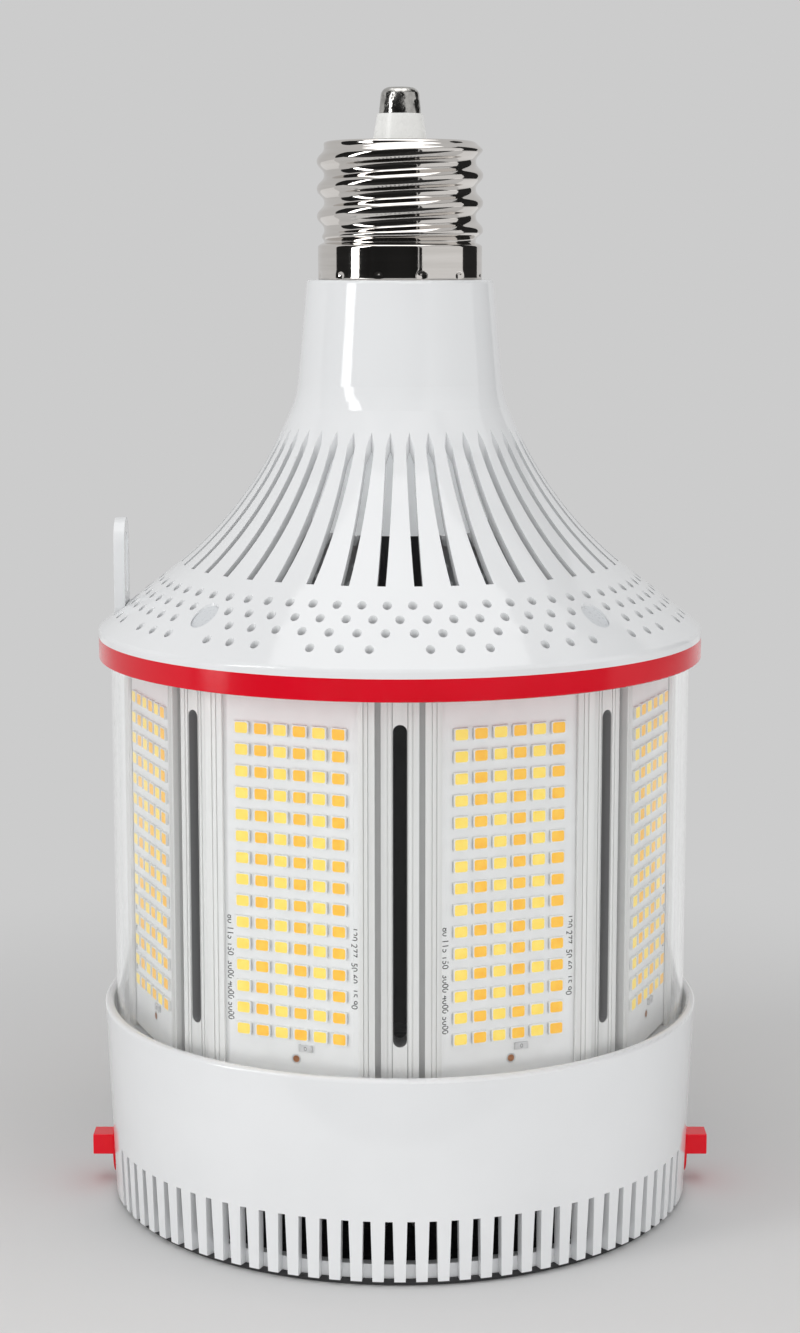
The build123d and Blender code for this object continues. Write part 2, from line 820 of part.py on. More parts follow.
with BuildPart() as driver_case:
    revolve(
        section(
            (case_bore, case_mouth),
            (case_radius, case_mouth),
            (case_radius, case_shoulder),
            (case_neck_radius, case_shoulder),
            (case_neck_radius, ceiling),
            (case_neck_radius - case_wall, ceiling),
            (case_neck_radius - case_wall, case_shoulder - case_wall),
            (case_bore, case_shoulder - case_wall),
        )
    )
save(driver_case.part, "driver_case")

with BuildPart() as driver_lid:
    revolve(
        section(
            (0, case_mouth),
            (lid_radius, case_mouth),
            (lid_radius, board_level),
            (lid_radius - lid_rim_width, board_level),
            (lid_radius - lid_rim_width, case_mouth + lid_thickness),
            (0, case_mouth + lid_thickness),
        )
    )
save(driver_lid.part, "driver_lid")

with BuildPart() as driver_board:
    revolve(ring(lid_radius, 0, board_level, parts_level))
save(driver_board.part, "driver_board")

on_board = (Align.CENTER, Align.CENTER, Align.MIN)

with BuildPart() as driver_transformer:
    with Locations((transformer_x, 0, parts_level)):
        Box(*transformer_size, align=on_board)
        fillet(driver_transformer.edges().filter_by(Axis.Z), transformer_round)
save(driver_transformer.part, "driver_transformer")

with BuildPart() as driver_capacitors:
    capacitor_x, capacitor_y = capacitor_place
    with Locations((capacitor_x, capacitor_y, parts_level), (capacitor_x, -capacitor_y, parts_level)):
        Cylinder(capacitor_radius, capacitor_height, align=on_board)
save(driver_capacitors.part, "driver_capacitors")

with BuildPart() as driver_inductor:
    with Locations((inductor_x, 0, parts_level)):
        Cylinder(inductor_radius, inductor_height, align=on_board)
        Cylinder(inductor_bore, inductor_height, align=on_board, mode=Mode.SUBTRACT)
save(driver_inductor.part, "driver_inductor")

with BuildPart() as driver_rectifier:
    with Locations((0, rectifier_y, parts_level), (0, -rectifier_y, parts_level)):
        Box(*rectifier_size, align=on_board)
save(driver_rectifier.part, "driver_rectifier")

# Wire conduit: a dark tube on the axis from the driver's lid down to the fan's motor plate
with BuildPart() as wire_conduit:
    revolve(ring(conduit_radius, conduit_radius - conduit_wall, shelf_top, case_mouth))
save(wire_conduit.part, "wire_conduit")

# Fan: a square frame hung from the sink, with its motor plate on struts at the sink's side
fan_top = shelf_top
fan_bottom = fan_top - fan_depth
plate_under = fan_top - motor_plate_thickness
bearing_bottom = plate_under - bearing_length
tube_bore = bearing_radius + run_gap
tube_radius = tube_bore + bearing_tube_wall
hub_top = plate_under - free_gap - run_gap
hub_bottom = hub_top - hub_height
hub_floor = hub_bottom + hub_wall

with BuildPart() as fan_frame:
    with BuildSketch(Plane.XY.offset(fan_bottom)):
        RectangleRounded(fan_size, fan_size, fan_corner_round, rotation=fan_turn + 45)
        Circle(fan_bore, mode=Mode.SUBTRACT)
        with Locations(*port_places):
            Circle(screw_hole, mode=Mode.SUBTRACT)
    extrude(amount=fan_depth)
    with BuildSketch(Plane.XY.offset(plate_under)):
        with PolarLocations(fan_bore / 2, 4, start_angle=fan_turn):
            Rectangle(fan_bore + strut_width, strut_width)
        Circle(motor_plate_radius)
    extrude(amount=motor_plate_thickness)
    revolve(ring(tube_radius, 0, bearing_bottom, plate_under))
    revolve(ring(tube_bore, 0, bearing_bottom, plate_under), mode=Mode.SUBTRACT)
save(fan_frame.part, "fan_frame")

fan_screws = screws(port_places, fan_bottom, fan_depth + fan_screw_reach)
save(fan_screws.part, "fan_screws")

with BuildPart() as fan_bearing:
    revolve(ring(bearing_radius, shaft_radius + run_gap, bearing_bottom, plate_under))
save(fan_bearing.part, "fan_bearing")

stator_bottom = plate_under - coil_build - stator_height - free_gap
shoe_inner = stator_radius - shoe_width

with BuildPart() as fan_stator:
    with BuildSketch(Plane.XY.offset(stator_bottom)):
        Circle(stator_radius)
        Circle(shoe_inner, mode=Mode.SUBTRACT)
        Circle(stator_core_radius)
        with PolarLocations((stator_core_radius + shoe_inner) / 2, 4):
            Rectangle(stator_radius - stator_core_radius, arm_width)
        with PolarLocations(stator_radius, 4, start_angle=45):
            Rectangle(4 * shoe_width, shoe_width, mode=Mode.SUBTRACT)
        Circle(stator_core_radius)
        Circle(tube_radius + run_gap, mode=Mode.SUBTRACT)
    extrude(amount=stator_height)
save(fan_stator.part, "fan_stator")

coil_outer = ((shoe_inner - run_gap) ** 2 - (arm_width / 2 + coil_build) ** 2) ** 0.5
coil_inner = stator_core_radius + run_gap
coil_middle = (coil_outer + coil_inner) / 2

with BuildPart() as fan_coils:
    with PolarLocations(coil_middle, 4):
        with Locations((0, 0, stator_bottom + stator_height / 2)):
            Box(coil_outer - coil_inner, arm_width + 2 * coil_build, stator_height + 2 * coil_build)
            Box(shoe_inner, arm_width + run_gap, stator_height + run_gap, mode=Mode.SUBTRACT)
save(fan_coils.part, "fan_coils")

with BuildPart() as fan_blade:
    blade_middle = (hub_bottom + hub_top) / 2
    with BuildSketch(radial_plane(0, hub_radius - 2 * hub_wall, blade_middle)):
        Rectangle(blade_root_chord, blade_thickness, rotation=blade_root_pitch)
    with BuildSketch(radial_plane(0, fan_bore, blade_middle)):
        Rectangle(blade_tip_chord, blade_thickness, rotation=blade_tip_pitch)
    loft()

with BuildPart() as fan_rotor:
    with PolarLocations(0, blades):
        add(fan_blade.part)
    with Locations((0, 0, blade_middle)):
        Cylinder(fan_bore - blade_tip_gap, fan_depth, mode=Mode.INTERSECT)
    revolve(ring(hub_radius, 0, hub_bottom, hub_top))
    revolve(ring(hub_radius - hub_wall, 0, hub_floor, hub_top), mode=Mode.SUBTRACT)
save(fan_rotor.part, "fan_rotor")

with BuildPart() as rotor_magnet:
    magnet_radius = hub_radius - hub_wall - run_gap
    revolve(ring(magnet_radius, magnet_radius - magnet_thickness, hub_floor, hub_top - free_gap))
save(rotor_magnet.part, "rotor_magnet")

with BuildPart() as fan_shaft:
    revolve(ring(shaft_radius, 0, hub_floor, plate_under - free_gap))
save(fan_shaft.part, "fan_shaft")
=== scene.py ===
# %% [markdown]
# # A screw-cap LED lamp, dressed for its photograph
# The CAD model of the lamp comes in as a fixed frame: every solid is already in its place, in metres,
# with the foot of the lamp at the origin and the screw cap up. This script keeps the solids whose shape
# is finished, rebuilds the few whose surface needs more detail, and gives every surface a finish.

# %% Load the frame
from math import cos, pi, radians, sin

import bmesh
import bpy
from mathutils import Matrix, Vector


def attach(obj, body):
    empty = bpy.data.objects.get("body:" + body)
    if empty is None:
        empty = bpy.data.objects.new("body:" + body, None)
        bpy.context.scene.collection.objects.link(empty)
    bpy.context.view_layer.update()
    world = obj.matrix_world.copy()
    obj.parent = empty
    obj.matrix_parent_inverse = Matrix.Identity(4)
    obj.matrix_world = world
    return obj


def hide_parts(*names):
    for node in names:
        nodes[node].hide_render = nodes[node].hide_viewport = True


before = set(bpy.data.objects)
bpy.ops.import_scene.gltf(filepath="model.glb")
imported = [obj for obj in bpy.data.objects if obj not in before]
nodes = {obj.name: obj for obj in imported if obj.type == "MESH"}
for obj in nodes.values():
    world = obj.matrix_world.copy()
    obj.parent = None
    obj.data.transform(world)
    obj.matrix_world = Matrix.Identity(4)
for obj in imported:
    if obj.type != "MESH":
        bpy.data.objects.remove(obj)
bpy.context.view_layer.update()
scene = bpy.context.scene
scene.view_settings.view_transform = "Standard"
mm = 0.001

# %% [markdown]
# ## Camera
# The photograph looks a little down on the lamp from the front. The lens and the height were worked out
# from the ellipses of the red band, the cover's rim and the foot, which open more the lower they are.
# The sensor's 36 mm lie along the picture's long side, so the focal length follows from that side.

# %% Photo camera
focal_in_pixels = 2610
photo_height = 1333
camera_distance, camera_height = 0.624, 0.2286
degrees_down = 9.05
camera_data = bpy.data.cameras.new("photo_camera")
camera_data.sensor_width = 36.0
camera_data.lens = camera_data.sensor_width * focal_in_pixels / photo_height
camera = bpy.data.objects.new("photo_camera", camera_data)
camera.location = (0.0, -camera_distance, camera_height)
camera.rotation_euler = (radians(90 - degrees_down), 0, 0)
scene.collection.objects.link(camera)
scene.camera = camera
print("lens", round(camera_data.lens, 2), "mm")

# %% [markdown]
# ## Wiring nodes from code
# Shader trees and geometry trees are wired the same way: make a node, set its properties, and give each
# input either a plain value or another node's output. One small helper does that for both kinds, so the
# cells below read like a list of what each finish is made of.


# %% Node helper
def put(tree, kind, inputs=(), **properties):
    """A new node: inputs by name or by order, each a value to set or an output to link."""
    node = tree.nodes.new(kind)
    for name, value in properties.items():
        setattr(node, name, value)
    for key, value in inputs.items() if isinstance(inputs, dict) else enumerate(inputs):
        if isinstance(value, bpy.types.NodeSocket):
            tree.links.new(value, node.inputs[key])
        elif value is not None:
            node.inputs[key].default_value = value
    return node


def maths(tree, operation, *inputs):
    """One Math node, as the output that it gives."""
    return put(tree, "ShaderNodeMath", inputs, operation=operation).outputs[0]


print("node helper ready")

# %% [markdown]
# ## What every finish is built from
# No real surface has one flat colour. Each finish here starts from noise read at the object's own
# coordinates, so the pattern stays on the piece. The noise shifts the colour a little, changes how sharp
# the gloss is, and raises a very low relief. Stretching the noise along one axis gives drawn or brushed
# lines; a high scale gives the grain of moulded plastic. Noise seldom leaves the middle of its range, so
# that part is stretched over the whole span of a shade or a gloss.

# %% Finish helpers
noise_span = (0.3, 0.7)


def noise(tree, scale, stretch=(1, 1, 1), detail=3.0):
    """Noise in the object's own coordinates, with the given number of cells to a metre."""
    place = put(tree, "ShaderNodeTexCoord").outputs["Object"]
    drawn = put(tree, "ShaderNodeMapping", {"Vector": place, "Scale": stretch}).outputs["Vector"]
    return put(tree, "ShaderNodeTexNoise", {"Vector": drawn, "Scale": scale, "Detail": detail}).outputs["Fac"]


def between(tree, amount, low, high):
    """A grey amount around one half, stretched to run from low to high."""
    return put(tree, "ShaderNodeMapRange", (amount, *noise_span, low, high)).outputs[0]


def shades(tree, amount, low, high):
    """A colour that goes from low to high with an amount around one half."""
    ramp = put(tree, "ShaderNodeValToRGB", (amount,))
    for stop, position, colour in zip(ramp.color_ramp.elements, noise_span, (low, high)):
        stop.position = position
        stop.color = (*colour, 1)
    return ramp.outputs["Color"]


def finish(name, low, high, gloss, scale=60.0, grain=900.0, relief=0.02, stretch=(1, 1, 1), **sockets):
    """A finish from two shades, a range of roughness and a fine relief; sockets set the shader's own."""
    material = bpy.data.materials.new(name)
    material.use_nodes = True
    tree = material.node_tree
    shader = tree.nodes["Principled BSDF"]
    for socket, value in sockets.items():
        shader.inputs[socket.replace("_", " ")].default_value = value
    broad = noise(tree, scale, stretch)
    fine = noise(tree, grain, stretch, detail=2.0)
    bump = put(tree, "ShaderNodeBump", {"Strength": 1.0, "Distance": relief * mm, "Height": fine})
    tree.links.new(shades(tree, broad, low, high), shader.inputs["Base Color"])
    tree.links.new(between(tree, fine, *gloss), shader.inputs["Roughness"])
    tree.links.new(bump.outputs["Normal"], shader.inputs["Normal"])
    return material


def dress(material, *names):
    """Puts a finish on CAD solids, which keep their own meshes."""
    for name in names:
        mesh = nodes[name].data
        mesh.materials.clear()
        mesh.materials.append(material)
    print(material.name, "on", ", ".join(names))


# %% [markdown]
# ## White moulded shells
# The bell, the lower cover and the tether eye are moulded in a white plastic with a clear gloss. A mould
# leaves a very fine orange peel, which breaks up the edge of a reflection, so the relief is a few
# microns and the roughness stays low.

# %% White shells
white_shell = finish(
    "white_shell", (0.80, 0.81, 0.82), (0.84, 0.85, 0.86), (0.05, 0.10),
    scale=25, grain=1500, relief=0.006, Specular_IOR_Level=0.5,
)
dress(white_shell, "bell_housing", "lower_cover", "tether_eye")

# %% [markdown]
# ## Red gloss
# The band under the bell and the selector knobs are red plastic, coloured all through. Plain gloss plastic
# mirrors only a few parts in a hundred, so the red stays deep everywhere but in its sharp highlights. The
# relief is next to nothing, because even a faint dapple would show on a band this narrow. The knobs are a
# batch of their own, a shade lighter.

# %% Red parts
red_gloss = finish(
    "red_gloss", (0.67, 0.002, 0.013), (0.73, 0.003, 0.018), (0.12, 0.20),
    scale=40, grain=1200, relief=0.001, Specular_IOR_Level=0.35,
)
knob_red = finish(
    "knob_red", (0.84, 0.002, 0.016), (0.90, 0.003, 0.021), (0.16, 0.26),
    scale=60, grain=1200, relief=0.002, Specular_IOR_Level=0.35,
)
dress(red_gloss, "trim_band")
dress(knob_red, "colour_knob", "power_knob")

# %% [markdown]
# ## Bright nickel
# The screw cap is brass sheet with a bright nickel plate. Plate on rolled metal is almost a mirror, with
# faint lines round the axis from the rolling. Stretching the noise flat along the axis would follow the
# lines only on a disc, so here the noise is squeezed along Z: thin level bands, long around.

# %% Nickel and contact
nickel = finish(
    "bright_nickel", (0.68, 0.65, 0.62), (0.76, 0.73, 0.70), (0.03, 0.08),
    scale=30, grain=70, relief=0.004, stretch=(1, 1, 22), Metallic=1.0,
)
contact_metal = finish(
    "contact_metal", (0.30, 0.29, 0.28), (0.66, 0.65, 0.62), (0.10, 0.34),
    scale=320, grain=420, relief=0.35, Metallic=1.0,
)
dress(contact_metal, "centre_contact")

# %% [markdown]
# ## Cap insulator
# Between the shell and the contact sits a white cone of glassy material. It is a little warmer than the
# plastic below, and its gloss is softer.

# %% Insulator
insulator_white = finish(
    "insulator_white", (0.88, 0.88, 0.86), (0.90, 0.90, 0.88), (0.24, 0.32),
    scale=120, grain=700, relief=0.002,
)
dress(insulator_white, "base_insulator")

# %% [markdown]
# ## Drawn aluminium
# The heat sink is an extrusion: the die leaves lines that run its whole length. The noise is squeezed
# across and stretched along Z, so one streak runs from end to end, and the roughness follows the streaks.
# A clear anodic film makes it milky: most of its light is scattered, so the metal share is low.

# %% Heat sink
drawn_aluminium = finish(
    "drawn_aluminium", (0.76, 0.76, 0.75), (0.87, 0.87, 0.86), (0.30, 0.48),
    scale=260, grain=1100, relief=0.03, stretch=(1, 1, 0.012), Metallic=0.25,
)
dress(drawn_aluminium, "heat_sink")

# %% [markdown]
# Each corner post has a long slot, and its walls take a dark grey: painted shade for the shade deep in the
# slot. The groove on either side of the post takes a lighter painted shade. The finish finds both by place:
# the turn round the axis is folded to the nearest post, and what lies within the slot's width, behind the
# post's face, takes the painted shade. What lies within a groove takes a share of it.

# %% Slot walls and grooves, painted shade
post_step = pi / 4
slot_half_width = 1.7 * mm
groove_middle, groove_half_width = 4.85 * mm, 0.65 * mm
groove_share = 0.4
post_face = 65.1 * mm
# Dark grey painted on the slot walls and, in a share, on the groove floors: painted shade.
painted_shade_grey = (0.27, 0.27, 0.275, 1)
tree = drawn_aluminium.node_tree
place = put(tree, "ShaderNodeSeparateXYZ", (put(tree, "ShaderNodeTexCoord").outputs["Object"],)).outputs
posts_passed = maths(tree, "DIVIDE", maths(tree, "ARCTAN2", place["Y"], place["X"]), post_step)
off_post = maths(tree, "SUBTRACT", posts_passed, maths(tree, "ROUND", posts_passed))
folded = maths(tree, "MULTIPLY", off_post, post_step)
level = put(tree, "ShaderNodeCombineXYZ", (place["X"], place["Y"])).outputs[0]
out = put(tree, "ShaderNodeVectorMath", (level,), operation="LENGTH").outputs["Value"]
aside = maths(tree, "ABSOLUTE", maths(tree, "MULTIPLY", out, maths(tree, "SINE", folded)))
forward = maths(tree, "MULTIPLY", out, maths(tree, "COSINE", folded))
in_slot = maths(tree, "LESS_THAN", aside, slot_half_width)
in_groove = maths(tree, "COMPARE", aside, groove_middle, groove_half_width)
behind = maths(tree, "LESS_THAN", forward, post_face)
# Where the painted shade falls: the whole slot and part of each groove, behind the post's face only.
painted_shade = maths(tree, "MAXIMUM", in_slot, maths(tree, "MULTIPLY", in_groove, groove_share))
painted_shade_share = maths(tree, "MULTIPLY", painted_shade, behind)
shader = tree.nodes["Principled BSDF"]
drawn = shader.inputs["Base Color"].links[0].from_socket
mix = put(tree, "ShaderNodeMix", {0: painted_shade_share, 6: drawn, 7: painted_shade_grey}, data_type="RGBA")
tree.links.new(mix.outputs[2], shader.inputs["Base Color"])
print("slot walls and grooves found by place")

# %% [markdown]
# ## Clear lens
# The tube is clear plastic with polished walls. Its shadow and its part in diffuse bounces are switched
# off, because light through a thin clear wall is hardly changed, and tracing it would only add noise to
# the boards behind. The index is set under that of the plastic, so the wall's two reflections stay as
# faint as in the photograph and the slots stay black.

# %% Lens
clear_lens = finish(
    "clear_lens", (0.97, 0.985, 0.985), (1.0, 1.0, 1.0), (0.0, 0.025),
    scale=8, grain=30, relief=0.002, Transmission_Weight=1.0, IOR=1.36,
)
dress(clear_lens, "lens_tube")
nodes["lens_tube"].visible_shadow = False
nodes["lens_tube"].visible_diffuse = False

# %% [markdown]
# ## Dark plastic and the parts inside
# The foot plate and the fan are a dark moulded plastic. Behind the slots are the driver, the switches
# and the fan motor. They are hardly seen, but each gets the finish of its real material: a green board,
# printed sleeves, wound copper, stacked steel sheet. The driver's case shows through the bell's slots. It
# is bright there, because the thin white bell lets light through; a weak emission of the case stands for
# that light, which saves tracing it through the wall.

# %% Inner finishes
dark_plastic = finish("dark_plastic", (0.020, 0.020, 0.022), (0.035, 0.035, 0.037), (0.42, 0.6), relief=0.02)
case_plastic = finish(
    "case_plastic", (0.82, 0.83, 0.83), (0.88, 0.89, 0.89), (0.4, 0.55), relief=0.015,
    Emission_Color=(0.95, 0.98, 1.0, 1), Emission_Strength=0.28,
)
green_board = finish("green_board", (0.010, 0.085, 0.03), (0.02, 0.13, 0.05), (0.3, 0.45), scale=400)
sleeve_blue = finish("sleeve_blue", (0.008, 0.012, 0.04), (0.015, 0.02, 0.07), (0.25, 0.4), scale=90)
tape_yellow = finish("tape_yellow", (0.55, 0.36, 0.02), (0.68, 0.47, 0.05), (0.3, 0.5), stretch=(1, 1, 12))
copper_wire = finish(
    "copper_wire", (0.42, 0.15, 0.05), (0.75, 0.36, 0.16), (0.25, 0.4),
    scale=180, grain=260, relief=0.15, stretch=(1, 1, 12), Metallic=1.0,
)
switch_black = finish("switch_black", (0.012, 0.012, 0.012), (0.03, 0.03, 0.03), (0.35, 0.5), relief=0.01)
sintered_bronze = finish(
    "sintered_bronze", (0.36, 0.22, 0.09), (0.52, 0.34, 0.15), (0.35, 0.5),
    scale=900, grain=2500, relief=0.02, Metallic=1.0,
)
zinc_steel = finish(
    "zinc_steel", (0.46, 0.46, 0.47), (0.62, 0.62, 0.64), (0.22, 0.4),
    scale=350, grain=900, relief=0.02, Metallic=1.0,
)
sheet_stack = finish(
    "sheet_stack", (0.10, 0.10, 0.11), (0.26, 0.26, 0.28), (0.35, 0.5),
    scale=60, grain=120, relief=0.1, stretch=(1, 1, 30), Metallic=1.0,
)
bonded_magnet = finish("bonded_magnet", (0.02, 0.018, 0.017), (0.05, 0.046, 0.044), (0.5, 0.7), scale=600)
dress(dark_plastic, "base_plate", "fan_frame", "fan_rotor", "wire_conduit")
dress(case_plastic, "driver_case", "driver_lid")
dress(green_board, "driver_board", "colour_switch_board", "power_switch_board")
dress(sleeve_blue, "driver_capacitors")
dress(tape_yellow, "driver_transformer")
dress(copper_wire, "driver_inductor", "fan_coils")
dress(switch_black, "colour_switch", "power_switch", "driver_rectifier")
dress(sintered_bronze, "fan_bearing")
dress(zinc_steel, "fan_shaft", "bell_screws", "cover_screws", "fan_screws", "base_screws")
dress(sheet_stack, "fan_stator")
dress(bonded_magnet, "rotor_magnet")

# %% [markdown]
# ## Finishes of the LED boards
# An LED package is a white frame round a window of silicone that is filled with phosphor. Two colours of
# phosphor take turns across a board: a cool one that looks lemon yellow and a warm one that looks orange.
# The silicone is soft, so it has a wide, mild gloss. Phosphor turns the blue part of the studio light into
# its own colour, which a very weak emission stands for.

# %% Board finishes
board_mask = finish(
    "board_mask", (0.86, 0.865, 0.865), (0.90, 0.905, 0.905), (0.28, 0.42),
    scale=300, grain=1400, relief=0.01,
)
led_package = finish(
    "led_package", (0.83, 0.83, 0.80), (0.88, 0.88, 0.86), (0.35, 0.5), scale=500, grain=2000, relief=0.008,
)
cool_phosphor = finish(
    "cool_phosphor", (0.96, 0.69, 0.11), (1.0, 0.77, 0.17), (0.3, 0.45), scale=420, grain=2200, relief=0.02,
    Emission_Color=(1.0, 0.74, 0.13, 1), Emission_Strength=0.17,
)
warm_phosphor = finish(
    "warm_phosphor", (0.94, 0.48, 0.04), (0.99, 0.59, 0.075), (0.3, 0.45), scale=420, grain=2200, relief=0.02,
    Emission_Color=(1.0, 0.55, 0.06, 1), Emission_Strength=0.17,
)
bare_copper = finish(
    "bare_copper", (0.40, 0.16, 0.07), (0.55, 0.25, 0.12), (0.3, 0.5), scale=900, grain=1500, Metallic=0.8,
)
tinned_pad = finish(
    "tinned_pad", (0.60, 0.60, 0.61), (0.76, 0.76, 0.76), (0.3, 0.45), scale=900, grain=1500, Metallic=0.7,
)
chip_white = finish("chip_white", (0.62, 0.62, 0.63), (0.72, 0.72, 0.73), (0.3, 0.5), scale=900, relief=0.01)
mark_black = finish("mark_black", (0.015, 0.015, 0.016), (0.03, 0.03, 0.032), (0.4, 0.6), scale=900)
print("board finishes ready")

# %% [markdown]
# ## Geometry trees
# Geometry Nodes make what repeats. A tree is a recipe with named inputs; the modifier on an object fills
# the inputs in. The inputs are set by the identifier of their socket before the object is evaluated for
# the first time. Afterwards the result is read back as a plain mesh, so nothing live is left on the piece.


# %% Tree helpers
SOCKETS = {float: "NodeSocketFloat", int: "NodeSocketInt", bpy.types.Material: "NodeSocketMaterial"}


def recipe(name, inputs):
    """A geometry tree with named inputs, as (tree, the outputs of its group input)."""
    tree = bpy.data.node_groups.new(name, "GeometryNodeTree")
    tree.interface.new_socket("Geometry", in_out="INPUT", socket_type="NodeSocketGeometry")
    for label, value in inputs.items():
        kind = SOCKETS[bpy.types.Material if isinstance(value, bpy.types.Material) else type(value)]
        tree.interface.new_socket(label, in_out="INPUT", socket_type=kind)
    tree.interface.new_socket("Geometry", in_out="OUTPUT", socket_type="NodeSocketGeometry")
    return tree, put(tree, "NodeGroupInput").outputs


def cook(piece_name, blank, tree, values, body):
    """Runs a tree on a blank mesh and keeps the result as a plain piece that rides on a body."""
    maker = bpy.data.objects.new(piece_name + "_maker", blank)
    scene.collection.objects.link(maker)
    modifier = maker.modifiers.new("recipe", "NODES")
    modifier.node_group = tree
    for item in tree.interface.items_tree:
        if item.in_out == "INPUT" and item.name in values:
            modifier[item.identifier] = values[item.name]
    graph = bpy.context.evaluated_depsgraph_get()
    mesh = bpy.data.meshes.new_from_object(maker.evaluated_get(graph))
    bpy.data.objects.remove(maker)
    mesh.name = piece_name
    piece = bpy.data.objects.new(piece_name, mesh)
    scene.collection.objects.link(piece)
    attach(piece, body)
    print(piece_name, len(mesh.vertices), "points", len(mesh.materials), "finishes")
    return piece


# %% [markdown]
# ## LED board
# Each board is a white plate with rows and columns of LEDs. One could model a single LED and duplicate
# it by hand; a tree does it better, because the pitch, the counts and the two colours stay adjustable.
# The tree lays a board flat, with X along the lamp's girth, Y up and Z outwards, and then stands it up
# at its angle round the axis.

# %% Board sizes
board_values = {
    "Board width": 35.0 * mm, "Board height": 92.2 * mm, "Board thickness": 1.6 * mm,
    "Face distance": 62.6 * mm, "Middle height": 89.1 * mm, "Angle": 0.0,
    "Columns": 6, "Rows": 15, "Column pitch": 4.68 * mm, "Row pitch": 4.93 * mm, "Array rise": 0.6 * mm,
    "LED width": 3.5 * mm, "LED height": 2.8 * mm, "LED thickness": 0.7 * mm,
    "Foot spread": 0.36 * mm, "Foot share": 0.8, "Foot thickness": 0.16 * mm,
    "Window share": 0.86, "Window corner": 0.45 * mm, "Window lift": 0.01 * mm,
    "Track overhang": 6.4 * mm, "Track height": 3.3 * mm, "Track relief": 0.05 * mm,
    "Figure size": 2.1 * mm, "Figure margin": 15.1 * mm, "Figure head": -8.0 * mm,
    "Figure middle": 0.35, "Figure lift": 0.02 * mm,
    "Pad sideways": 0.9 * mm, "Pad height": -39.8 * mm,
    "Mask": board_mask, "Package": led_package, "Cool": cool_phosphor, "Warm": warm_phosphor,
    "Copper": bare_copper, "Tin": tinned_pad, "Print": mark_black,
}
tree, given = recipe("led_board", board_values)
print("board recipe has", len(board_values), "inputs")

# %% [markdown]
# The same few geometry nodes come up again and again. Each has a short helper, which adds the node to the
# tree that is being built and gives back what the node makes.


# %% Geometry helpers
def vector(x=0.0, y=0.0, z=0.0):
    """A Combine XYZ node in the current tree, as the vector that it gives."""
    return put(tree, "ShaderNodeCombineXYZ", (x, y, z)).outputs[0]


def point():
    """The place of each point, as its X, Y and Z."""
    place = put(tree, "GeometryNodeInputPosition").outputs[0]
    return put(tree, "ShaderNodeSeparateXYZ", (place,)).outputs


def length(arrow):
    """The length of a vector."""
    return put(tree, "ShaderNodeVectorMath", (arrow,), operation="LENGTH").outputs["Value"]


def moved(geometry, **place):
    """Geometry shifted, turned or scaled as a whole."""
    return put(tree, "GeometryNodeTransform", {"Geometry": geometry, **place}).outputs["Geometry"]


def painted(geometry, material, selection=None):
    """Geometry with a finish on all its faces, or on the selected ones."""
    inputs = {"Geometry": geometry, "Material": material, "Selection": selection}
    return put(tree, "GeometryNodeSetMaterial", inputs).outputs["Geometry"]


def marked_as(mark, geometry):
    """Geometry whose faces carry a mark, so that a later node can find them."""
    inputs = {"Geometry": geometry, "Name": mark, "Value": True}
    kind = {"data_type": "BOOLEAN", "domain": "FACE"}
    return put(tree, "GeometryNodeStoreNamedAttribute", inputs, **kind).outputs["Geometry"]


def faces_marked(mark):
    """The faces that carry a mark."""
    return put(tree, "GeometryNodeInputNamedAttribute", {"Name": mark}, data_type="BOOLEAN").outputs[0]


def block(width, height, thickness):
    """A box that stands on the plane Z = 0."""
    box = put(tree, "GeometryNodeMeshCube", {"Size": vector(width, height, thickness)}).outputs["Mesh"]
    return moved(box, Translation=vector(z=maths(tree, "MULTIPLY", thickness, 0.5)))


def coin(sides, radius, depth):
    """A flat cylinder round the origin."""
    inputs = {"Vertices": sides, "Radius": radius, "Depth": depth}
    return put(tree, "GeometryNodeMeshCylinder", inputs).outputs["Mesh"]


def put_together(*parts):
    """Several geometries as one."""
    join = put(tree, "GeometryNodeJoinGeometry")
    for part in parts:
        tree.links.new(part, join.inputs[0])
    return join.outputs[0]


def on_points(points, instance, **more):
    """Copies of a geometry, one on each point."""
    inputs = {"Points": points, "Instance": instance, **more}
    return put(tree, "GeometryNodeInstanceOnPoints", inputs).outputs["Instances"]


def realized(geometry):
    """Copies made real, as meshes or curves of their own."""
    return put(tree, "GeometryNodeRealizeInstances", (geometry,)).outputs[0]


print("geometry helpers ready")

# %% [markdown]
# One LED is a box on soldered feet, which stand out a little on either side. Its window is a rectangle with
# rounded corners, filled with one face and lifted just clear of the box.


# %% One LED
def led(phosphor):
    """A package on its soldered feet, with a round-cornered window of phosphor in its top."""
    box = painted(block(given["LED width"], given["LED height"], given["LED thickness"]), given["Package"])
    feet_width = maths(tree, "ADD", given["LED width"], given["Foot spread"])
    feet_height = maths(tree, "MULTIPLY", given["LED height"], given["Foot share"])
    feet = painted(block(feet_width, feet_height, given["Foot thickness"]), given["Tin"])
    outline = put(
        tree, "GeometryNodeCurvePrimitiveQuadrilateral",
        {"Width": maths(tree, "MULTIPLY", given["LED width"], given["Window share"]),
         "Height": maths(tree, "MULTIPLY", given["LED height"], given["Window share"])},
    ).outputs["Curve"]
    rounded = put(
        tree, "GeometryNodeFilletCurve",
        {"Curve": outline, "Count": 3, "Radius": given["Window corner"]}, mode="POLY",
    ).outputs["Curve"]
    window = put(tree, "GeometryNodeFillCurve", {"Curve": rounded}, mode="NGONS").outputs["Mesh"]
    above = maths(tree, "ADD", given["LED thickness"], given["Window lift"])
    return put_together(box, feet, painted(moved(window, Translation=vector(z=above)), phosphor))


def row_length(count, pitch):
    """The length of a row of points, from the first to the last."""
    return maths(tree, "MULTIPLY", maths(tree, "SUBTRACT", count, 1.0), pitch)


array_width = row_length(given["Columns"], given["Column pitch"])
array_height = row_length(given["Rows"], given["Row pitch"])
print("LED ready, in", board_values["Columns"], "columns of", board_values["Rows"])

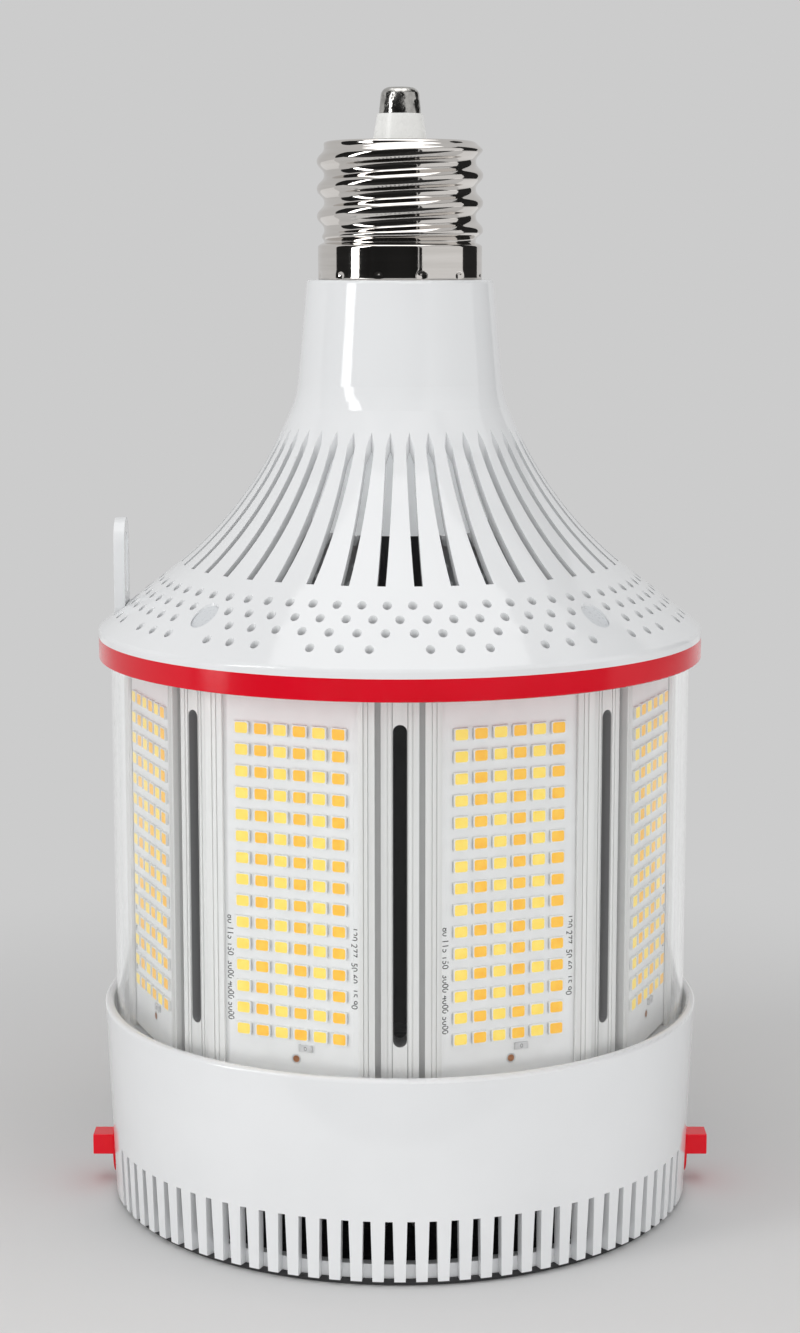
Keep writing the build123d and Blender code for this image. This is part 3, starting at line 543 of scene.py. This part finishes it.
# %% [markdown]
# The points of a grid carry the LEDs. A point's X place tells its column, and whether the column's
# number is odd decides which of the two packages stands on it.

# %% Columns of two colours
grid = put(
    tree, "GeometryNodeMeshGrid",
    {"Size X": array_width, "Size Y": array_height,
     "Vertices X": given["Columns"], "Vertices Y": given["Rows"]},
).outputs["Mesh"]
from_left = maths(tree, "ADD", point()["X"], maths(tree, "MULTIPLY", array_width, 0.5))
column = maths(tree, "ROUND", maths(tree, "DIVIDE", from_left, given["Column pitch"]))
odd = maths(tree, "MODULO", column, 2.0)
even = maths(tree, "SUBTRACT", 1.0, odd)
lift = vector(0.0, given["Array rise"], maths(tree, "ADD", given["Face distance"], given["Track relief"]))
leds = [
    moved(on_points(grid, led(phosphor), Selection=which), Translation=lift)
    for which, phosphor in ((even, given["Cool"]), (odd, given["Warm"]))
]
print("two kinds of LED on one grid")

# %% [markdown]
# Under the solder mask lie copper tracks. They show as a low step in the white, one strip behind each
# row of LEDs. The plate and its tracks are marked, because the mask covers both.

# %% Plate and tracks
back = maths(tree, "SUBTRACT", given["Face distance"], given["Board thickness"])
plate = block(given["Board width"], given["Board height"], given["Board thickness"])
plate = moved(plate, Translation=vector(z=back))
row_line = put(
    tree, "GeometryNodeMeshLine",
    {"Count": given["Rows"], "Offset": vector(0.0, given["Row pitch"], 0.0),
     "Start Location": vector(0.0, maths(tree, "MULTIPLY", array_height, -0.5), 0.0)},
).outputs["Mesh"]
track_length = maths(tree, "ADD", array_width, given["Track overhang"])
tracks = on_points(row_line, block(track_length, given["Track height"], given["Track relief"]))
tracks = moved(tracks, Translation=vector(0.0, given["Array rise"], given["Face distance"]))
masked = marked_as("mask", realized(put_together(plate, tracks)))
print("plate with a track behind each row")

# %% [markdown]
# At the foot of the board is a round test pad: bare copper inside a tinned ring. Both margins carry a line
# of small printed figures, such as ratings; here they are plain numbers.

# %% Figures and test pad
ring_radius, ring_relief = 1.15 * mm, 0.03 * mm
copper_radius, copper_relief = 0.78 * mm, 0.07 * mm
pad_sides = 24


def digits(text, side):
    """A line of printed figures that runs down one margin of the board."""
    letters = put(tree, "GeometryNodeStringToCurves", {"String": text, "Size": given["Figure size"]})
    outlines = realized(letters.outputs["Curve Instances"])
    flat = put(tree, "GeometryNodeFillCurve", {"Curve": outlines}, mode="NGONS").outputs["Mesh"]
    half_digit = maths(tree, "MULTIPLY", given["Figure size"], given["Figure middle"])
    column = maths(tree, "SUBTRACT", maths(tree, "MULTIPLY", given["Figure margin"], side), half_digit)
    above = maths(tree, "ADD", given["Face distance"], given["Figure lift"])
    place = vector(column, given["Figure head"], above)
    return painted(moved(flat, Rotation=vector(z=-pi / 2), Translation=place), given["Print"])


def disc(radius, relief, material):
    """A low round pad on the board, at the place of the test point."""
    place = vector(given["Pad sideways"], given["Pad height"], given["Face distance"])
    return painted(moved(coin(pad_sides, radius, 2 * relief), Translation=place), material)


pads = [disc(ring_radius, ring_relief, given["Tin"]), disc(copper_radius, copper_relief, given["Copper"])]
printed = [digits("80 115 150  3000 4000 5000", -1.0), digits("120 277  50 60  15 90", 1.0)]
print(len(pads), "pads and", len(printed), "lines of figures")

# %% Whole board
whole = put_together(*leds, *pads, *printed, masked)
turn = vector(pi / 2, 0.0, maths(tree, "ADD", given["Angle"], pi / 2))
stood = moved(whole, Translation=vector(z=given["Middle height"]), Rotation=turn)
put(tree, "NodeGroupOutput", (painted(realized(stood), given["Mask"], faces_marked("mask")),))
print("board recipe has", len(tree.nodes), "nodes")

# %% Eight boards
boards = 8
degrees_apart = 45
empty_mesh = bpy.data.meshes.new("empty")
for number in range(boards):
    board_values["Angle"] = radians(degrees_apart * (number + 0.5))
    name = f"led_board_{number + 1}"
    board = cook("dressed_" + name, empty_mesh, tree, board_values, "lamp")
    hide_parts(name)

# %% [markdown]
# ## Chip resistors
# At the foot of each board sits one chip resistor: a pale ceramic body between two tinned ends, with a
# nought printed on it, the usual mark of a plain link. It is one tiny recipe, repeated on points that
# are turned to face outwards. The nought is a thin wire bent to an oval and sunk into the body.


# %% Resistor sizes
def turn_of_point(count):
    """How far each of a count of points is turned round the axis, the first by half a step."""
    index = put(tree, "GeometryNodeInputIndex").outputs[0]
    return maths(tree, "MULTIPLY", maths(tree, "ADD", index, 0.5), maths(tree, "DIVIDE", 2 * pi, count))


def circle(sides, radius):
    """A round curve in the plane Z = 0."""
    inputs = {"Resolution": sides, "Radius": radius}
    return put(tree, "GeometryNodeCurvePrimitiveCircle", inputs).outputs["Curve"]


chip_values = {
    "Count": boards, "Distance": 62.6 * mm, "Height": 52.0 * mm, "Sideways": 3.3 * mm,
    "Length": 3.2 * mm, "Width": 1.6 * mm, "Thickness": 0.55 * mm, "End share": 0.14, "Body share": 0.94,
    "Nought radius": 0.38 * mm, "Wire radius": 0.07 * mm,
    "Body": chip_white, "Tin": tinned_pad, "Print": mark_black,
}
nought_scale = (0.75, 1.0, 0.3)
tree, given = recipe("chip_resistor", chip_values)
print("resistor recipe has", len(chip_values), "inputs")

# %% Resistor recipe
end_length = maths(tree, "MULTIPLY", given["Length"], given["End share"])
middle_length = maths(tree, "SUBTRACT", given["Length"], maths(tree, "MULTIPLY", end_length, 2.0))
body_top = maths(tree, "MULTIPLY", given["Thickness"], given["Body share"])
body_width = maths(tree, "MULTIPLY", given["Width"], given["Body share"])
body = marked_as("ceramic", block(middle_length, body_width, body_top))
end_shift = maths(tree, "MULTIPLY", maths(tree, "ADD", middle_length, end_length), 0.5)
ends = [
    moved(block(end_length, given["Width"], given["Thickness"]),
          Translation=vector(maths(tree, "MULTIPLY", end_shift, side)))
    for side in (-1.0, 1.0)
]
bent = {"Curve": circle(16, given["Nought radius"]), "Profile Curve": circle(5, given["Wire radius"])}
nought = put(tree, "GeometryNodeCurveToMesh", bent).outputs["Mesh"]
nought = moved(nought, Translation=vector(z=body_top), Scale=nought_scale)
chip = put_together(body, painted(put_together(*ends), given["Tin"]), painted(nought, given["Print"]))
seated = moved(chip, Translation=vector(given["Sideways"], 0.0, given["Distance"]))
spots = {"Count": given["Count"], "Position": vector(0, 0, given["Height"])}
spots = put(tree, "GeometryNodePoints", spots).outputs[0]
around = vector(pi / 2, 0.0, maths(tree, "ADD", turn_of_point(given["Count"]), pi / 2))
chips = realized(on_points(spots, seated, Rotation=around))
put(tree, "NodeGroupOutput", (painted(chips, given["Body"], faces_marked("ceramic")),))
resistors = cook("dressed_chip_resistors", empty_mesh, tree, chip_values, "lamp")
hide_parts("chip_resistors")

# %% [markdown]
# ## Screw plugs
# Each of the bell's four screws sits at the bottom of a round recess, and a push-in plug closes it, a
# little below the surface. A plug starts as a flat cylinder, and a tree leans its points down with the
# slope of the bell. The plug's finish is a shade darker and a little bluer than the bell's.

# %% Plug recipe
plug_white = finish(
    "plug_white", (0.66, 0.68, 0.70), (0.70, 0.72, 0.74), (0.25, 0.35), grain=1500, relief=0.006,
)
plug_sides = 48
plug_values = {
    "Count": 4, "Circle": 62.0 * mm, "Height": 146.5 * mm, "Radius": 3.1 * mm, "Thickness": 1.4 * mm,
    "Fall": 0.7785, "Finish": plug_white,
}
tree, given = recipe("screw_plugs", plug_values)
plug = coin(plug_sides, given["Radius"], given["Thickness"])
fall = maths(tree, "MULTIPLY", point()["X"], maths(tree, "MULTIPLY", given["Fall"], -1.0))
leant = put(tree, "GeometryNodeSetPosition", {"Geometry": plug, "Offset": vector(z=fall)}).outputs[0]
seated = moved(leant, Translation=vector(given["Circle"], 0.0, given["Height"]))
spots = put(tree, "GeometryNodePoints", {"Count": given["Count"]}).outputs[0]
plugs = realized(on_points(spots, seated, Rotation=vector(z=turn_of_point(given["Count"]))))
put(tree, "NodeGroupOutput", (painted(plugs, given["Finish"]),))
cook("screw_plugs", empty_mesh, tree, plug_values, "lamp")

# %% [markdown]
# ## Screw cap
# The real cap starts as a drawn cup, and rollers press the thread into it as it turns. The piece is made
# the same way: a turned blank with many rows of points, and a tree that pushes each point out by a rule.
# The rule is a wave along the axis that is shifted by a full pitch for each turn, so it winds up as a
# right-hand thread, and it fades out at both ends. A plain cosine is a little too pointed for a thread
# rolled from two arcs, so it is bulged first. The same tree presses in the crimps of the skirt.


# %% Turned blank
def turned(name, profile, steps):
    """A closed ring of mesh: a profile of (radius, height) in mm, turned round Z."""
    made = bmesh.new()
    spin = [(pi * 2 * step / steps) for step in range(steps)]
    rows = [[made.verts.new((r * cos(a) * mm, r * sin(a) * mm, z * mm)) for a in spin] for r, z in profile]
    for low, high in zip(rows, rows[1:] + rows[:1]):
        for one in range(steps):
            two = (one + 1) % steps
            made.faces.new((low[one], low[two], high[two], high[one]))
    bmesh.ops.recalc_face_normals(made, faces=made.faces)
    mesh = bpy.data.meshes.new(name)
    made.to_mesh(mesh)
    made.free()
    mesh.polygons.foreach_set("use_smooth", [True] * len(mesh.polygons))
    return mesh


def straight(radius, foot, rise, rows):
    """The profile of a straight wall, cut into rows."""
    return [(radius, foot + rise * row / rows) for row in range(rows + 1)]


steps_around = 200
rows_in_wall, rows_in_skirt = 104, 24
wall_radius, wall_inside = 17.9, 17.4
skirt_radius, skirt_inside, skirt_rise = 19.4, 18.9, 7.4
mouth_radius = 14.95
shell_foot, shell_top = 221.96, 253.96
wall_foot, wall_top = shell_foot + 8.6, shell_top - 0.55
skirt = straight(skirt_radius, shell_foot + 0.25, skirt_rise, rows_in_skirt)
shoulder = [(19.15, shell_foot + 8.0), (18.5, shell_foot + 8.35)]
wall = straight(wall_radius, wall_foot, wall_top - wall_foot, rows_in_wall)
rim = [(17.8, shell_top - 0.36), (17.5, shell_top - 0.14), (16.9, shell_top), (15.2, shell_top)]
inside = [
    (mouth_radius, shell_top - 0.2), (mouth_radius, shell_top - 0.5), (wall_inside, wall_top),
    (wall_inside, shell_foot + 7.8), (skirt_inside, shell_foot + 7.6), (skirt_inside, shell_foot),
    (19.25, shell_foot),
]
blank = turned("cap_blank", skirt + shoulder + wall + rim + inside, steps_around)
print("blank has", len(blank.vertices), "points")

# %% Thread recipe
thread_values = {
    "Pitch": 6.35 * mm, "Depth": 1.7 * mm, "Bulge": 0.18, "Crest on X": 233.4 * mm,
    "Thread foot": 230.6 * mm, "Thread head": 253.9 * mm, "Run-out": 2.2 * mm,
    "Wall radius": wall_radius * mm, "Skirt radius": skirt_radius * mm,
    "Crimps": 12, "Crimp height": 222.85 * mm, "Crimp radius": 0.6 * mm, "Crimp depth": 0.4 * mm,
    "Plate": nickel,
}
same_radius = 0.02 * mm
tree, given = recipe("rolled_thread", thread_values)
place = point()
flat = vector(place["X"], place["Y"])
radius = length(flat)
outwards = put(tree, "ShaderNodeVectorMath", (flat,), operation="NORMALIZE").outputs[0]
turns = maths(tree, "DIVIDE", maths(tree, "ARCTAN2", place["Y"], place["X"]), 2 * pi)
rise = maths(tree, "DIVIDE", maths(tree, "SUBTRACT", place["Z"], given["Crest on X"]), given["Pitch"])
wave = maths(tree, "COSINE", maths(tree, "MULTIPLY", maths(tree, "SUBTRACT", rise, turns), 2 * pi))
taken = maths(tree, "MULTIPLY", maths(tree, "POWER", wave, 2.0), given["Bulge"])
bulge = maths(tree, "SUBTRACT", maths(tree, "ADD", given["Bulge"], 1.0), taken)
wave = maths(tree, "MULTIPLY", wave, bulge)
height = maths(tree, "MULTIPLY", maths(tree, "ADD", wave, 1.0), maths(tree, "MULTIPLY", given["Depth"], 0.5))
print("thread wave wired")

# %% [markdown]
# The thread runs out softly at its foot and its head. It belongs to the outer wall alone, so only points at
# the wall's radius are moved.


# %% Thread ends
def smooth(amount, low, high, at_low, at_high):
    """A soft step from one value to another."""
    inputs = (amount, low, high, at_low, at_high)
    return put(tree, "ShaderNodeMapRange", inputs, interpolation_type="SMOOTHSTEP").outputs[0]


full_from = maths(tree, "ADD", given["Thread foot"], given["Run-out"])
full_to = maths(tree, "SUBTRACT", given["Thread head"], given["Run-out"])
fade_in = smooth(place["Z"], given["Thread foot"], full_from, 0, 1)
fade_out = smooth(place["Z"], full_to, given["Thread head"], 1, 0)
on_wall = maths(tree, "COMPARE", radius, given["Wall radius"], same_radius)
fades = maths(tree, "MULTIPLY", fade_in, fade_out)
thread = maths(tree, "MULTIPLY", maths(tree, "MULTIPLY", height, on_wall), fades)
print("thread rule wired")

# %% [markdown]
# A crimp is a small dent. Its distance from the nearest of the evenly spaced crimp centres is measured
# along the skirt and up the skirt, and a bell-shaped curve of that distance gives the depth.

# %% Crimps, and the cap
share = maths(tree, "FRACT", maths(tree, "MULTIPLY", maths(tree, "ADD", turns, 1.0), given["Crimps"]))
along = maths(
    tree, "MULTIPLY", maths(tree, "SUBTRACT", share, 0.5),
    maths(tree, "DIVIDE", maths(tree, "MULTIPLY", given["Skirt radius"], 2 * pi), given["Crimps"]),
)
far = length(vector(along, maths(tree, "SUBTRACT", place["Z"], given["Crimp height"])))
reach = maths(tree, "POWER", maths(tree, "DIVIDE", far, given["Crimp radius"]), 2.0)
bell_curve = maths(tree, "EXPONENT", maths(tree, "MULTIPLY", reach, -1.0))
dent = maths(tree, "MULTIPLY", bell_curve, given["Crimp depth"])
on_skirt = maths(tree, "COMPARE", radius, given["Skirt radius"], same_radius)
push = maths(tree, "SUBTRACT", thread, maths(tree, "MULTIPLY", dent, on_skirt))
offset = put(tree, "ShaderNodeVectorMath", {0: outwards, "Scale": push}, operation="SCALE").outputs[0]
rolled = put(tree, "GeometryNodeSetPosition", {"Geometry": given["Geometry"], "Offset": offset}).outputs[0]
put(tree, "NodeGroupOutput", (painted(realized(rolled), given["Plate"]),))
cap = cook("rolled_screw_shell", blank, tree, thread_values, "lamp")
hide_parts("screw_shell")

# %% [markdown]
# ## Studio
# The lamp stands on a pale floor in front of a pale grey background. White things need something darker
# to reflect, or they lose their form, so the world that lights them is dim. The floor is a plain grey
# that takes the lamp's shadow, and away from the lamp it passes into the grey of the background.

# %% World
white = (1, 1, 1, 1)
backdrop_grey = (0.604, 0.604, 0.604, 1)
fill_strength = 0.36
world = bpy.data.worlds.new("studio")
world.use_nodes = True
scene.world = world
tree = world.node_tree
tree.nodes.clear()
seen = put(tree, "ShaderNodeLightPath").outputs
mirrored = maths(tree, "MAXIMUM", seen["Is Glossy Ray"], seen["Is Transmission Ray"])
shown = maths(tree, "MAXIMUM", seen["Is Camera Ray"], mirrored)
fill = put(tree, "ShaderNodeBackground", {"Color": white, "Strength": fill_strength}).outputs[0]
grey = put(tree, "ShaderNodeBackground", {"Color": backdrop_grey, "Strength": 1.0}).outputs[0]
put(tree, "ShaderNodeOutputWorld", (put(tree, "ShaderNodeMixShader", (shown, fill, grey)).outputs[0],))
print("world ready")


# %% Floor
def panel(name, width, depth, material):
    """A flat sheet that belongs to the studio, not to the lamp."""
    made = bmesh.new()
    bmesh.ops.create_grid(made, x_segments=1, y_segments=1, size=0.5)
    bmesh.ops.scale(made, vec=(width, depth, 1), verts=made.verts)
    mesh = bpy.data.meshes.new(name)
    made.to_mesh(mesh)
    made.free()
    mesh.materials.append(material)
    sheet = bpy.data.objects.new(name, mesh)
    scene.collection.objects.link(sheet)
    return sheet


def cleared(name):
    """A material whose tree is still empty."""
    material = bpy.data.materials.new(name)
    material.use_nodes = True
    material.node_tree.nodes.clear()
    return material


floor_grey = (0.74, 0.74, 0.74, 1)
floor_size = 12.0
floor_height = -0.0002
shadow_reach, backdrop_start = 0.13, 0.33
floor_finish = cleared("studio_floor")
tree = floor_finish.node_tree
distance = length(put(tree, "ShaderNodeTexCoord").outputs["Object"])
away = smooth(distance, shadow_reach, backdrop_start, 0, 1)
near = put(tree, "ShaderNodeBsdfDiffuse", {"Color": floor_grey}).outputs[0]
glow = put(tree, "ShaderNodeEmission", {"Color": backdrop_grey, "Strength": 1.0}).outputs[0]
put(tree, "ShaderNodeOutputMaterial", (put(tree, "ShaderNodeMixShader", (away, near, glow)).outputs[0],))
floor = panel("studio_floor", floor_size, floor_size, floor_finish)
floor.location = (0, 0, floor_height)
print("floor ready")

# %% [markdown]
# ## Lights
# The nickel cap is a map of the studio, and the lights follow what the photograph's cap shows: a bright
# narrow strip at the left, a wide dim panel at the right, and a soft box overhead. The strip leans forward
# at its top, so its reflection on the bell swings inwards where the flare begins. A low card under the
# picture throws light at the boards; it lights only, so no reflection shows it.


# %% Soft boxes
def at_bearing(bearing, distance, height):
    """A place round the lamp, at a bearing in degrees that is counted to the right of the camera."""
    turn = radians(bearing)
    return distance * sin(turn), -distance * cos(turn), height


def soft_box(name, bearing, distance, height, size, watts, roll=0):
    """An area lamp at a bearing, aimed at the lamp."""
    data = bpy.data.lights.new(name, "AREA")
    data.shape = "RECTANGLE"
    data.size, data.size_y = size
    data.energy = watts
    box = bpy.data.objects.new(name, data)
    box.location = at_bearing(bearing, distance, height)
    box.rotation_euler = (light_aim - box.location).to_track_quat("-Z", "Y").to_euler()
    box.rotation_euler.rotate_axis("Z", radians(roll))
    scene.collection.objects.link(box)
    return box


light_aim = Vector((0, 0, 0.12))
soft_box("strip_left", bearing=-61, distance=0.9, height=0.34, size=(0.17, 0.9), watts=3.2, roll=-25)
soft_box("panel_right", bearing=64, distance=0.95, height=0.36, size=(1.3, 1.0), watts=3.1)
soft_box("soft_box_top", bearing=0, distance=0.12, height=1.0, size=(0.8, 0.8), watts=3.0)
low_card = soft_box("low_card", bearing=3, distance=0.37, height=0.05, size=(0.5, 0.1), watts=0.29)
low_card.visible_glossy = False
low_card.visible_transmission = False

# %% [markdown]
# Dark cards stand where the studio was dark, and a dark mat lies in front of the lamp. They are seen by
# reflections alone, so they neither shade the lamp nor take light from it. They draw the black bands on
# the nickel, keep the red deep and let the clear lens show what is behind it.

# %% Dark cards
card_finish = finish("dark_card", (0.008, 0.008, 0.008), (0.012, 0.012, 0.012), (0.8, 0.9))
card_height, card_middle = 1.6, 0.55
mat_height = 0.0004


def kept_from_view(sheet):
    """Hides a sheet from the camera, and keeps it from lighting or shading anything."""
    sheet.visible_camera = False
    sheet.visible_diffuse = False
    sheet.visible_shadow = False


def dark_card(name, place, turn, width, height):
    """A dark sheet that only reflections see."""
    card = panel(name, width, height, card_finish)
    card.location = place
    card.rotation_euler = turn
    kept_from_view(card)
    card.visible_transmission = False
    print(name, width, "m wide")


for name, bearing, distance, width in (
    ("dark_card_left", -71, 1.2, 1.3), ("dark_card_front", -10, 1.25, 1.75),
    ("dark_card_right", 64, 1.3, 2.0), ("dark_card_far_right", 117, 1.0, 0.7),
):
    place = at_bearing(bearing, distance, card_middle)
    dark_card(name, place, (radians(90), 0, radians(bearing)), width, card_height)
dark_card("dark_mat", (0, -0.72, mat_height), (0, 0, 0), 2.4, 1.15)

# %% [markdown]
# The tube's edges look whiter than the wall behind the lamp. A clear wall shows there what lies along the
# line of sight, so a pale mat on the floor behind the lamp gives it something brighter to show. It is seen
# in reflections and through the lens only.

# %% Pale mat
mat_strength = 0.8
mat_finish = cleared("pale_mat")
tree = mat_finish.node_tree
shine = put(tree, "ShaderNodeEmission", {"Color": white, "Strength": mat_strength}).outputs[0]
put(tree, "ShaderNodeOutputMaterial", (shine,))
pale_mat = panel("pale_mat", 1.2, 0.7, mat_finish)
pale_mat.location = (0, 0.51, mat_height)
kept_from_view(pale_mat)
print("pale mat behind the lamp")
